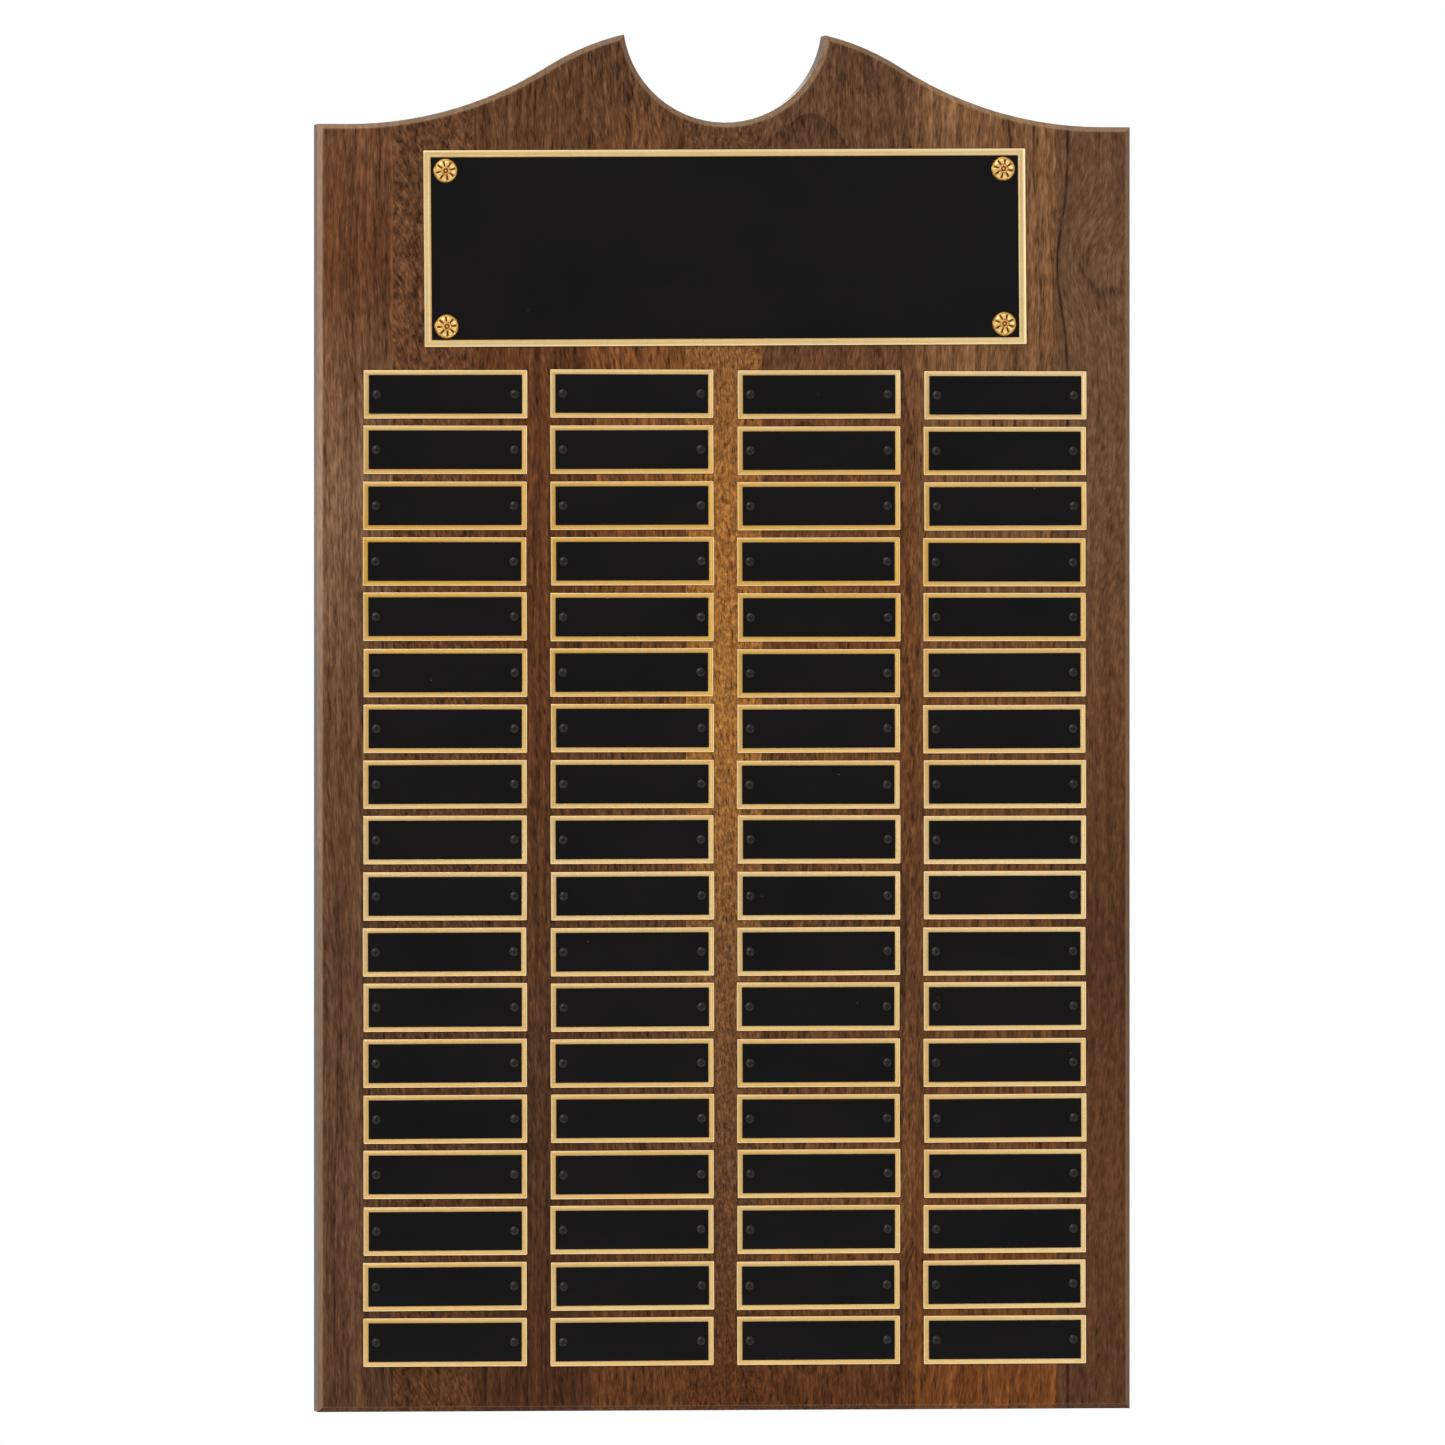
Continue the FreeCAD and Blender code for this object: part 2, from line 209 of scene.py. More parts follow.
# One entry for each stave, from left to right.
# tones: its colours from the foot to the crest, the wood's own colour with painted light and shade worked
# in
# heart: X and Y of the tree's middle at mid-height, lean and dive: how far that moves for each mm up
# ring: the growth rings' spacing and depth of colour
# streak, pore: depth of colour of the long streaks and of the fine pores
# dash: width, length, slant and depth of colour of the short dashes in the grain
STAVE_LOOKS = [
    dict(
        tones_with_light=[
            (84, 56, 39), (91, 63, 46), (88, 60, 43), (100, 69, 48),
            (120, 90, 68), (97, 60, 35), (117, 81, 57),
        ],
        heart=(-420, 30), lean=-0.012, dive=0.0, ring=(6.2, 0.2), streak=0.5, pore=0.4,
        dash=(1.1, 7.0, 0.06, 1.1),
    ),
    dict(
        tones_with_light=[(86, 52, 29), (82, 53, 36), (92, 59, 36), (101, 65, 41), (98, 66, 45)],
        heart=(-330, 120), lean=0.0, dive=0.02, ring=(7.0, 0.1), streak=0.3, pore=0.5,
        dash=(1.4, 3.6, 0.34, 1.7),
    ),
    dict(
        tones_with_light=[(75, 44, 22), (81, 54, 36), (93, 56, 31), (96, 58, 30), (97, 66, 45)],
        heart=(-300, 60), lean=0.01, dive=0.0, ring=(4.6, 0.2), streak=0.5, pore=0.5,
        dash=(1.0, 5.5, 0.1, 1.1),
    ),
    dict(
        tones_with_light=[(95, 57, 28), (88, 58, 38), (104, 66, 37), (126, 79, 42), (96, 67, 46)],
        heart=(-190, 50), lean=0.0, dive=0.03, ring=(5.2, 0.15), streak=0.4, pore=0.5,
        dash=(1.0, 5.0, 0.16, 1.25),
    ),
    dict(
        tones_with_light=[
            (86, 48, 21), (99, 66, 42), (120, 82, 50), (158, 107, 54),
            (153, 102, 51), (118, 80, 50), (74, 50, 36),
        ],
        heart=(90, 200), lean=0.0, dive=0.0, ring=(6.0, 0.08), streak=0.22, pore=0.6,
        dash=(1.0, 2.2, 0.1, 1.45),
    ),
    dict(
        tones_with_light=[
            (85, 48, 22), (110, 71, 41), (90, 58, 37), (110, 69, 38),
            (104, 65, 37), (95, 65, 45), (94, 65, 46),
        ],
        heart=(38, 2), lean=0.0, dive=0.16, ring=(7.6, 0.24), streak=0.4, pore=0.5,
        dash=(1.0, 4.8, -0.1, 1.35),
    ),
    dict(
        tones_with_light=[(118, 69, 30), (104, 67, 40), (109, 70, 40), (121, 85, 56), (126, 90, 62)],
        heart=(330, 70), lean=-0.02, dive=0.0, ring=(8.2, 0.22), streak=0.42, pore=0.45,
        dash=(1.0, 6.0, -0.06, 1.05),
    ),
    dict(
        tones_with_light=[
            (86, 55, 36), (98, 63, 40), (82, 52, 33), (103, 68, 43),
            (106, 76, 56), (107, 78, 58), (95, 67, 49),
        ],
        heart=(420, 140), lean=0.0, dive=0.0, ring=(9.0, 0.1), streak=0.25, pore=0.35,
        dash=(1.2, 4.5, -0.08, 0.85),
    ),
]
# What the darkest, middle and lightest shades of the grain multiply a stave's colour by.
TINTS = [(0.15, 0.12, 0.09, 1), (0.74, 0.70, 0.61, 1), (1.6, 1.62, 1.56, 1)]

# A cell is the size of one patch of a pattern: across the grain, in depth and along the grain.
SWAY_CELL = (40, 60, 160)
SWAY_REACH = 22.0
WAVE_CELL = (9, 30, 34)
WAVE_REACH = 3.0
BROAD_CELL = (6.0, 20, 420)
BROAD_DEPTH = 0.9
FINE_CELL = (1.5, 2.5, 75)
FINE_DEPTH = 1.3
PORE_CELL = (0.5, 0.6, 6.0)
PORE_LEVELS = (0.5, 0.68)
PORE_DEPTH = 0.5

# Each stave's noise is moved on from the last one's, and these four patterns from each other.
SHIFT_PER_STAVE = 7.3
BROAD_SHIFT = 3
FINE_SHIFT = 5
DASH_SHIFT = 9
CURL_SHIFT = 11

# The rings differ in width from one to the next, and each darkens towards its late wood.
RING_DRIFT_RATE = 0.35
RING_DRIFT = 2.6
LATE_WOOD_POWER = 2.2
LATE_WOOD_MEAN = 0.3

# The curls are larger and fainter than the dashes, and lean the other way.
CURL_WIDTH = 1.7
CURL_LENGTH = 1.3
CURL_SLANT = -0.8
CURL_DEPTH = 0.7

# The last stave's knot, and the dark growth line that runs past it.
KNOT = (178.0, 211.0)
KNOT_RADIUS = 10.0
KNOT_PUSH = 5.0
KNOT_PUSH_HEIGHT = 26.0
KNOT_SWERVE = 2.0
KNOT_RING_RATE = 1.5
KNOT_RING_DEPTH = 0.025
KNOT_LIGHTNESS = 0.07
CRESCENT_RADIUS = 1.12 * KNOT_RADIUS
CRESCENT_WIDTH = 2.6
CRESCENT_DEPTH = 0.22
GROWTH_LINE_X = 159.6
GROWTH_LINE_WIDTH = 0.7
GROWTH_LINE_DEPTH = 0.42

# The board's front face, the chamfer round it, and where the painted glare on the chamfer has faded out.
FRONT_Y = -19.0
CHAMFER = 2.4
GLARE_FADE_Y = -15.0
GLARE_FADE_IN = (FRONT_Y + 0.05, FRONT_Y + 0.35)
# The colour of a painted glare on the chamfer, and how much of it is mixed in.
CHAMFER_PAINTED_GLARE = linear(180, 146, 104)
CHAMFER_GLARE_SHARE = 0.18
BARE_WOOD = linear(132, 100, 74)
BARE_SHARE = 0.3
# Which way the wood faces: out of the back is 1 and out of the front is -1, and likewise up and down.
BACK_FACING = (0.6, 0.9)
TURNED_FROM_FRONT = (-0.98, -0.78)
LIT_FROM_ABOVE = (-0.7, -0.3)
COAT_IN_FRONT = 0.03
COAT_ON_EDGES = 0.31


def grain_position(g, place, x, shift):
    """How far across the grain a point is, after the grain's slow sway and its smaller waves."""
    sway = g.centred(g.noise(g.in_cells(place, SWAY_CELL, shift)))
    wave = g.centred(g.noise(g.in_cells(place, WAVE_CELL, shift)))
    return g.plus(x, g.times(sway, SWAY_REACH), g.times(wave, WAVE_REACH))


def growth_rings(g, across, y, z, look):
    """The shade of the growth rings round the tree's middle."""
    heart_x, heart_y = look["heart"]
    spacing, depth = look["ring"]
    off_x = g.minus(across, g.times_plus(z, look["lean"], float(heart_x)))
    off_y = g.minus(y, g.times_plus(z, look["dive"], float(heart_y)))
    count = g.math("DIVIDE", g.distance(off_x, off_y), spacing)
    drift = g.noise_along(g.times(count, RING_DRIFT_RATE))
    count = g.plus(count, g.times(drift, RING_DRIFT))
    late = g.math("POWER", g.math("FRACT", count), LATE_WOOD_POWER)
    return g.times(g.minus(late, LATE_WOOD_MEAN), -depth)


def long_streaks(g, place, shift, depth):
    """The shade of the streaks that run up a stave, and the fine ones by themselves."""
    broad = g.noise(g.in_cells(place, BROAD_CELL, shift + BROAD_SHIFT), 1.5)
    fine = g.noise(g.in_cells(place, FINE_CELL, shift + FINE_SHIFT), 2.0, 0.6)
    both = g.plus(g.times(broad, BROAD_DEPTH), g.times(fine, FINE_DEPTH))
    return g.times(g.minus(both, (BROAD_DEPTH + FINE_DEPTH) / 2), depth), fine


def short_marks(g, across, x, y, z, shift, look):
    """The pores, the short dashes, and the shade of both with the curls that cross them."""
    width, length, slant, depth = look["dash"]
    leaning = g.joined(g.times_plus(z, slant, across), y, z)
    crossing = g.joined(g.times_plus(z, CURL_SLANT * slant, x), y, z)
    dash_cell = (width, width * 1.2, length)
    curl_cell = (width * CURL_WIDTH, width * 2, length * CURL_LENGTH)
    pores = g.ramp(g.noise(g.in_cells(leaning, PORE_CELL, shift), 1.0), *PORE_LEVELS)
    dashes = g.noise(g.in_cells(leaning, dash_cell, shift + DASH_SHIFT), 3.0, 0.62)
    curls = g.noise(g.in_cells(crossing, curl_cell, shift + CURL_SHIFT), 2.0, 0.6)
    shade = g.plus(
        g.times(pores, -PORE_DEPTH * look["pore"]),
        g.times(g.centred(dashes), depth),
        g.times(g.centred(curls), CURL_DEPTH * depth),
    )
    return pores, dashes, shade


def knot_marks(g, x, z):
    """How far the knot pushes the grain aside, and the shade of the knot and of the growth line."""
    across = g.minus(x, KNOT[0])
    up = g.minus(z, KNOT[1])
    distance = g.distance(across, up)
    push = g.times(g.bell(z, KNOT[1], KNOT_PUSH_HEIGHT), KNOT_PUSH)
    rings = g.math("SINE", g.times(distance, KNOT_RING_RATE))
    shown = g.minus(1.0, g.ramp(distance, KNOT_RADIUS * 0.8, KNOT_RADIUS * 1.3))
    inside = g.times(shown, g.times_plus(rings, KNOT_RING_DEPTH, KNOT_LIGHTNESS))
    low_left = g.ramp(g.plus(across, up), 6.0, -8.0)
    halo = g.bell(distance, CRESCENT_RADIUS, CRESCENT_WIDTH)
    crescent = g.times(halo, g.times_plus(low_left, 0.8, 0.2))
    line = g.bell(g.plus(x, push), GROWTH_LINE_X, GROWTH_LINE_WIDTH)
    dark = g.plus(g.times(line, GROWTH_LINE_DEPTH), g.times(crescent, CRESCENT_DEPTH))
    return push, g.minus(inside, dark)


def lacquer_cover(g, y):
    """Where a painted glare goes on the chamfer, where the wood is bare, and how glossy the lacquer is."""
    normal = g.split(g.add("ShaderNodeTexCoord", output="Normal"))
    outward, upward = normal[1], normal[2]
    lit = g.ramp(upward, *LIT_FROM_ABOVE)
    fade_out = g.ramp(y, GLARE_FADE_Y, FRONT_Y + CHAMFER)
    # Painted glare on the chamfer and the front of the side walls, left off faces that look down.
    painted_glare = g.times(g.times(g.ramp(y, *GLARE_FADE_IN), fade_out), lit)
    turned = g.times(g.ramp(outward, *TURNED_FROM_FRONT), lit)
    coat = g.times_plus(turned, COAT_ON_EDGES, COAT_IN_FRONT)
    bare = g.ramp(outward, *BACK_FACING)
    return painted_glare, bare, g.times(coat, g.minus(1.0, bare))


def walnut(number, look):
    """Lacquered walnut with its grain up the stave, a painted glare on the upward-facing chamfer, bare
    behind.
    """
    g = Graph(f"walnut_stave_{number}_lacquered")
    shift = SHIFT_PER_STAVE * number
    place = g.place()
    x, y, z = g.split(place)
    across = grain_position(g, place, x, shift)
    knot_shade = 0.0
    if number == len(STAVE_LOOKS):
        push, knot_shade = knot_marks(g, x, z)
        across = g.plus(across, g.times(push, KNOT_SWERVE))
    rings = growth_rings(g, across, y, z, look)
    streaks, fine = long_streaks(g, place, shift, look["streak"])
    pores, dashes, marks = short_marks(g, across, x, y, z, shift, look)
    shade = g.plus(rings, streaks, marks, 0.5, knot_shade)

    tones_with_light = [linear(*tone_with_light) for tone_with_light in look["tones_with_light"]]
    # The colour up the stave holds painted light and shade as well as the wood's own colour.
    tone_with_light = g.stops(g.share_between(z, FOOT_Z, CREST_Z), tones_with_light)
    colour = g.mix(1.0, tone_with_light, g.stops(shade, TINTS), "MULTIPLY")
    painted_glare, bare, coat = lacquer_cover(g, y)
    # A lighter painted glare on the upward-facing chamfer.
    colour = g.mix(g.times(painted_glare, CHAMFER_GLARE_SHARE), colour, CHAMFER_PAINTED_GLARE)
    colour = g.mix(bare, colour, g.mix(BARE_SHARE, colour, BARE_WOOD))

    rough = g.plus(g.times_plus(pores, 0.16, 0.4), g.times(g.centred(fine), 0.12))
    return g.finish(
        Base_Color=colour,
        Roughness=g.times_plus(bare, 0.3, rough),
        Normal=g.bump(g.minus(g.times(dashes, 0.5), pores), 0.05, 0.6),
        Specular_IOR_Level=0.07,
        Coat_Weight=coat,
        Coat_Roughness=0.32,
    )


# ---------------------------------------------------------------- metals and lacquer


BRASS_ORANGE = linear(217, 166, 66)
# The colour of a painted reflection of bright surroundings in the brass.
BRASS_PAINTED_REFLECTION = linear(234, 204, 148)
# The colour of a painted highlight along the plates' rolled edges.
BRASS_EDGE_HIGHLIGHT = linear(250, 226, 172)
BRASS_LINE = linear(150, 106, 48)
BRASS_SPOT = linear(120, 84, 44)
# How much painted reflection makes the brass paler: evenly spaced levels, from the lowest row of plates to
# the header.
BRASS_REFLECTION_BY_ROW = (0.55, 0.6, 0.5, 0.62, 0.85, 0.5, 0.18, 0.12, 0.75, 0.8, 0.8)
BRASS_LOW_Z = -300.0
BRASS_HIGH_Z = 270.0
BRASS_DRIFT_CELL = (55, 40, 16)
BRUSH_LENGTH = 26
BRUSH_WIDTH = 0.16
SPOT_SIZE = 1.4


def plate_brass():
    """Lacquered brass, brushed along the plates and their ends, with a painted reflection that is weakest
    in the upper rows, which stay warmer.
    """
    g = Graph("plate_brass_brushed")
    place = g.place()
    x, _, z = g.split(place)
    # Painted reflection: the brass goes from orange towards paler by row, more towards the right, and with
    # a random drift.
    reflection_level = g.stops(g.share_between(z, BRASS_LOW_Z, BRASS_HIGH_Z), [(p, p, p, 1) for p in BRASS_REFLECTION_BY_ROW])
    reflection_to_right = g.times(g.ramp(x, 60.0, 150.0), 0.25)
    drift = g.times(g.centred(g.noise(g.in_cells(place, BRASS_DRIFT_CELL))), 0.6)
    colour = g.mix(g.plus(reflection_level, reflection_to_right, drift), BRASS_ORANGE, BRASS_PAINTED_REFLECTION)
    level = g.noise(g.in_cells(place, (BRUSH_LENGTH, 1.0, BRUSH_WIDTH)), 2.0, 0.7)
    upright = g.noise(g.in_cells(place, (BRUSH_WIDTH, 1.0, BRUSH_LENGTH)), 2.0, 0.7)
    grain = g.plus(g.times(level, 0.6), g.times(upright, 0.4))
    colour = g.mix(g.ramp(grain, 0.62, 0.36, 0.0, 0.22), colour, BRASS_LINE)
    spots = g.noise(g.in_cells(place, (SPOT_SIZE, SPOT_SIZE, SPOT_SIZE)), 1.0)
    colour = g.mix(g.ramp(spots, 0.70, 0.78, 0.0, 0.35), colour, BRASS_SPOT)
    return g.finish(
        # A painted highlight on the rolled edge and at the gap by the black.
        Base_Color=g.mix(g.mark("edge_highlight"), colour, BRASS_EDGE_HIGHLIGHT),
        Metallic=1.0,
        Roughness=g.times_plus(grain, 0.22, 0.24),
        Normal=g.bump(grain, 0.01, 0.5),
    )


ROSETTE_DEEP = linear(198, 146, 60)
ROSETTE_PALE = linear(222, 180, 102)
# The colours of painted shade in the stamping's hollows and of a painted highlight on its high parts.
ROSETTE_PAINTED_SHADE = linear(116, 64, 22)
ROSETTE_PAINTED_HIGHLIGHT = linear(252, 232, 176)


def rosette_brass():
    """Polished stamped brass with painted shade, brown down in the hollows, and a painted highlight on the
    high parts.
    """
    g = Graph("rosette_brass_polished")
    mottle = g.noise(g.in_cells(g.place(), (1.2, 1.2, 1.2)), 2.0)
    painted_shading = g.mark("painted_shading")
    colour = g.mix(mottle, ROSETTE_DEEP, ROSETTE_PALE)
    # Painted shade in the hollows and, where the mark is below 0, a painted highlight.
    colour = g.mix(g.times(painted_shading, 0.9), colour, ROSETTE_PAINTED_SHADE)
    colour = g.mix(g.times(painted_shading, -0.75), colour, ROSETTE_PAINTED_HIGHLIGHT)
    return g.finish(
        Base_Color=colour,
        Metallic=1.0,
        Roughness=g.times_plus(mottle, 0.14, 0.24),
        Normal=g.bump(mottle, 0.02, 0.3),
    )


DUST_SPACING = 9.0
DUST_SIZE = 0.028
DUST_RARITY = 0.8
DUST = linear(150, 120, 86)


def black_lacquer():
    """Satin-gloss black lacquer with a faint orange peel and a few specks of dust."""
    g = Graph("black_lacquer_satin")
    place = g.place()
    peel = g.noise(g.in_cells(place, (1.1, 1.1, 1.1)), 2.0)
    clouds = g.noise(g.in_cells(place, (60, 60, 40)), 2.0)
    colour = g.mix(clouds, (0.0042, 0.0040, 0.0044, 1), (0.0068, 0.0056, 0.0056, 1))
    spots = {"Vector": g.in_cells(place, (DUST_SPACING, DUST_SPACING, DUST_SPACING)), "Scale": 1.0}
    distance = g.add("ShaderNodeTexVoronoi", spots, output="Distance")
    chance = g.split(distance.node.outputs["Color"])[0]
    rare = g.math("GREATER_THAN", chance, DUST_RARITY)
    dust = g.times(g.math("LESS_THAN", distance, DUST_SIZE), rare)
    return g.finish(
        Base_Color=g.mix(g.times(dust, 0.5), colour, DUST),
        Roughness=g.times_plus(clouds, 0.14, 0.2),
        Normal=g.bump(peel, 0.008, 0.4),
        Specular_IOR_Level=0.05,
    )


def black_oxide():
    """Black-oxided steel, brown in random patches."""
    g = Graph("screw_black_oxide")
    mottle = g.noise(g.in_cells(g.place(), (0.8, 0.8, 0.8)), 2.0)
    return g.finish(
        Base_Color=g.mix(g.ramp(mottle, 0.45, 0.7), (0.009, 0.007, 0.006, 1), (0.036, 0.024, 0.016, 1)),
        Metallic=0.6,
        Roughness=g.times_plus(mottle, 0.2, 0.28),
        Normal=g.bump(mottle, 0.02, 0.5),
    )


def zinc_steel():
    """Bright zinc-plated steel with the plating's faint clouding and a few rubbed marks."""
    g = Graph("zinc_plated_steel")
    place = g.place()
    clouds = g.noise(g.in_cells(place, (3.0, 3.0, 3.0)), 3.0)
    rubbed = g.noise(g.in_cells(place, (0.2, 0.2, 14.0)), 2.0, 0.7)
    return g.finish(
        Base_Color=g.mix(clouds, linear(168, 170, 170), linear(206, 204, 192)),
        Metallic=1.0,
        Roughness=g.times_plus(rubbed, 0.3, 0.2),
        Normal=g.bump(rubbed, 0.015, 0.5),
    )


# ---------------------------------------------------------------- making pieces


def new_piece(name, bm, material, node, crease=35):
    """Puts a closed mesh in the scene as a piece that stands for a CAD node."""
    bmesh.ops.recalc_face_normals(bm, faces=bm.faces)
    mesh = bpy.data.meshes.new(name)
    bm.to_mesh(mesh)
    bm.free()
    mesh.materials.append(material)
    mesh.polygons.foreach_set("use_smooth", [True] * len(mesh.polygons))
    mesh.set_sharp_from_angle(angle=math.radians(crease))
    piece = bpy.data.objects.new(name, mesh)
    bpy.context.scene.collection.objects.link(piece)
    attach(piece, "root")
    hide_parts(node)


def bridge(bm, first, second):
    """Joins two rings of as many vertices with a band of faces."""
    for step in range(len(first)):
        after = (step + 1) % len(first)
        bm.faces.new((first[step], second[step], second[after], first[after]))


def cad_points(node):
    return [vertex.co.copy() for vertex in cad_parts[node].data.vertices]


def middle_of(points):
    return Vector([(min(p[k] for p in points) + max(p[k] for p in points)) / 2 for k in range(3)])


def lie_of(points):
    """The placement of a flat rectangular part: the middle of its back, turned as it is turned."""
    middle = middle_of(points)
    spread_x = sum((p.x - middle.x) ** 2 for p in points)
    spread_z = sum((p.z - middle.z) ** 2 for p in points)
    together = sum((p.x - middle.x) * (p.z - middle.z) for p in points)
    turn = math.atan2(2 * together, spread_x - spread_z) / 2
    middle.y = max(p.y for p in points)
    return Matrix.Translation(middle) @ Matrix.Rotation(-turn, 4, "Y")


def lies_in_row(node):
    """The placements of a row's parts, which are evenly spread, from left to right."""
    points = cad_points(node)
    left = min(p.x for p in points)
    reach = (max(p.x for p in points) - left) / COLUMNS
    groups = [[] for _ in range(COLUMNS)]
    for p in points:
        groups[min(int((p.x - left) / reach), COLUMNS - 1)].append(p)
    return [lie_of(group) for group in groups]


# ---------------------------------------------------------------- plates


CORNER_STEPS = 5
LEAST_RADIUS = 0.15
PLATE_RADIUS = 0.5
FIELD_RADIUS = 0.3

PLATE_SIZE = (75.8, 22.3)
PLATE_BORDER = (2.4, 2.2)
PLATE_THICKNESS = 0.6
PLATE_EDGE = 0.28
PLATE_GROOVE = 0.8

HEADER_SIZE = (279.9, 90.5)
HEADER_BORDER = (3.4, 3.15)
HEADER_THICKNESS = 0.8
HEADER_EDGE = 0.25
HEADER_GROOVE = HEADER_BORDER[0] - 0.75

GROOVE_HALF_WIDTH = 0.16
GROOVE_DEPTH = 0.09
GAP = 0.2
GAP_SLOPE = 0.12
GAP_DEPTH = 0.1
FIELD_THICKNESS = 0.05
FIELD_EDGE = 0.12


def rounded_rectangle(width, height, radius):
    """(x, z) points round a rectangle with rounded corners, the same number for any size."""
    points = []
    for corner, (side_x, side_z) in enumerate(((1, 1), (-1, 1), (-1, -1), (1, -1))):
        for step in range(CORNER_STEPS):
            angle = (corner + step / (CORNER_STEPS - 1)) * math.pi / 2
            x = side_x * (width / 2 - radius) + radius * math.cos(angle)
            z = side_z * (height / 2 - radius) + radius * math.sin(angle)
            points.append((x, z))
    return points


def add_sheet(bm, lie, size, section, radius):
    """A closed sheet with a shaped edge. Its section runs from the back, over the edge and inwards, and
    gives each ring its painted edge highlight.
    """
    layer = bm.verts.layers.float.get("edge_highlight") or bm.verts.layers.float.new("edge_highlight")
    rings = []
    for inset_x, inset_z, rise, edge_highlight in section:
        corner = max(radius - inset_x, LEAST_RADIUS)
        outline = rounded_rectangle(size[0] - 2 * inset_x, size[1] - 2 * inset_z, corner)
        rings.append([bm.verts.new(lie @ (Vector((x, -rise, z)) * MM)) for x, z in outline])
        # Each vertex keeps how much painted edge highlight the brass gets there.
        for vertex in rings[-1]:
            vertex[layer] = edge_highlight
    bm.faces.new(rings[0])
    for outer, inner in zip(rings, rings[1:]):
        bridge(bm, outer, inner)
    bm.faces.new(list(reversed(rings[-1])))


def rim_section(top, border, edge, groove):
    """A plate's bare border: a rolled edge with a painted highlight, a groove, a flat land and a gap at the
    black.
    """
    side, share = border[0], border[1] / border[0]
    insets = [
        (0.0, 0.0, 0.0),
        (0.0, top - edge, 0.4),
        (edge * 0.3, top - edge * 0.3, 1.0),
        (edge, top, 0.8),
        (groove - GROOVE_HALF_WIDTH, top, 0.0),
        (groove, top - GROOVE_DEPTH, 0.0),
        (groove + GROOVE_HALF_WIDTH, top, 0.0),
        (side - GAP - GAP_SLOPE, top, 0.1),
        (side - GAP, top - GAP_DEPTH, 0.0),
        (side, top - GAP_DEPTH, 0.0),
    ]
    return [(inset, inset * share, rise, edge_highlight) for inset, rise, edge_highlight in insets]


def field_section(brass_top):
    """A black field: it stands a little proud of the brass, with a soft edge."""
    top = brass_top + FIELD_THICKNESS
    shape = [(0.0, brass_top - GAP_DEPTH), (0.0, brass_top), (0.03, top - 0.01), (FIELD_EDGE, top)]
    return [(inset, inset, rise, 0.0) for inset, rise in shape]


def inside(size, border):
    return size[0] - 2 * border[0], size[1] - 2 * border[1]


def build_name_plates(brass, lacquer):
    rim = rim_section(PLATE_THICKNESS, PLATE_BORDER, PLATE_EDGE, PLATE_GROOVE)
    field = field_section(PLATE_THICKNESS)
    for row in range(1, ROWS + 1):
        plates, fields = bmesh.new(), bmesh.new()
        for lie in lies_in_row(f"name_plates_row_{row:02d}"):
            add_sheet(plates, lie, PLATE_SIZE, rim, PLATE_RADIUS)
            add_sheet(fields, lie, inside(PLATE_SIZE, PLATE_BORDER), field, FIELD_RADIUS)
        plates_name, fields_name = f"brass_name_plates_row_{row:02d}", f"lacquer_fields_row_{row:02d}"
        new_piece(plates_name, plates, brass, f"name_plates_row_{row:02d}")
        new_piece(fields_name, fields, lacquer, f"black_fields_row_{row:02d}")


def build_header(brass, lacquer):
    lie = lie_of(cad_points("header_plate"))
    rim = rim_section(HEADER_THICKNESS, HEADER_BORDER, HEADER_EDGE, HEADER_GROOVE)
    plate, field = bmesh.new(), bmesh.new()
    add_sheet(plate, lie, HEADER_SIZE, rim, PLATE_RADIUS)
    add_sheet(field, lie, inside(HEADER_SIZE, HEADER_BORDER), field_section(HEADER_THICKNESS), FIELD_RADIUS)
    new_piece("brass_header_plate", plate, brass, "header_plate")
    new_piece("lacquer_header_field", field, lacquer, "header_black_field")


# ---------------------------------------------------------------- rosette tacks


TACK_RADIUS = 5.55
TACK_HEIGHT = 2.2
BACK_RADIUS = 0.98 * TACK_RADIUS
NAIL_RADIUS = 0.7
NAIL_POINT = 1.4
TIP_RADIUS = 0.08
PETALS = 8
ROSETTE_TURNS = {"top_left": 12, "top_right": 33, "bottom_left": 5, "bottom_right": 27}
ROSETTE_CORNERS = 128
ROSETTE_RINGS = 34

# The stamping's heights are shares of a profile that is PROFILE_HEIGHT high before it is scaled.
PROFILE_HEIGHT = 1.28
RIM_HEIGHT = 0.18
DOME_HEIGHT = 0.55
PETAL_HEIGHT = 0.42
PETAL_SINK = 0.62
PETAL_START = (0.34, 0.42)
PETAL_END = (0.77, 0.84)
EDGE_FALL = (0.93, 1.0)
FALL_FLOOR = 0.25
# Round bands: where each is and how wide, as shares of the head's radius, and its height or strength.
RIM_BEAD = (0.9, 0.07, 0.22)
HUB_RING = (0.26, 0.05, 0.40)
BUTTON = (0.0, 0.07, 0.22)
# Bands of painted shade in the dimple and moat, and of painted highlight on the hub, button and petal
# ridges.
DIMPLE_SHADE = (0.15, 0.07, 1.3)
MOAT_SHADE = (0.37, 0.03, 0.7)
HUB_HIGHLIGHT = (0.27, 0.05, 1.0)
BUTTON_HIGHLIGHT = (0.0, 0.05, 0.5)
PETAL_HIGHLIGHT = 0.75
# Across a petal, from 0 in the groove beside it to 1 on its ridge: where the painted shade ends and the
# painted highlight begins.
SHADE_END = (0.06, 0.44)
HIGHLIGHT_START = (0.42, 0.7)


def smooth(value, low, high):
    share = min(max((value - low) / (high - low), 0.0), 1.0)
    return share * share * (3 - 2 * share)


def band(share, place, width, amount):
    return amount * math.exp(-(((share - place) / width) ** 2))


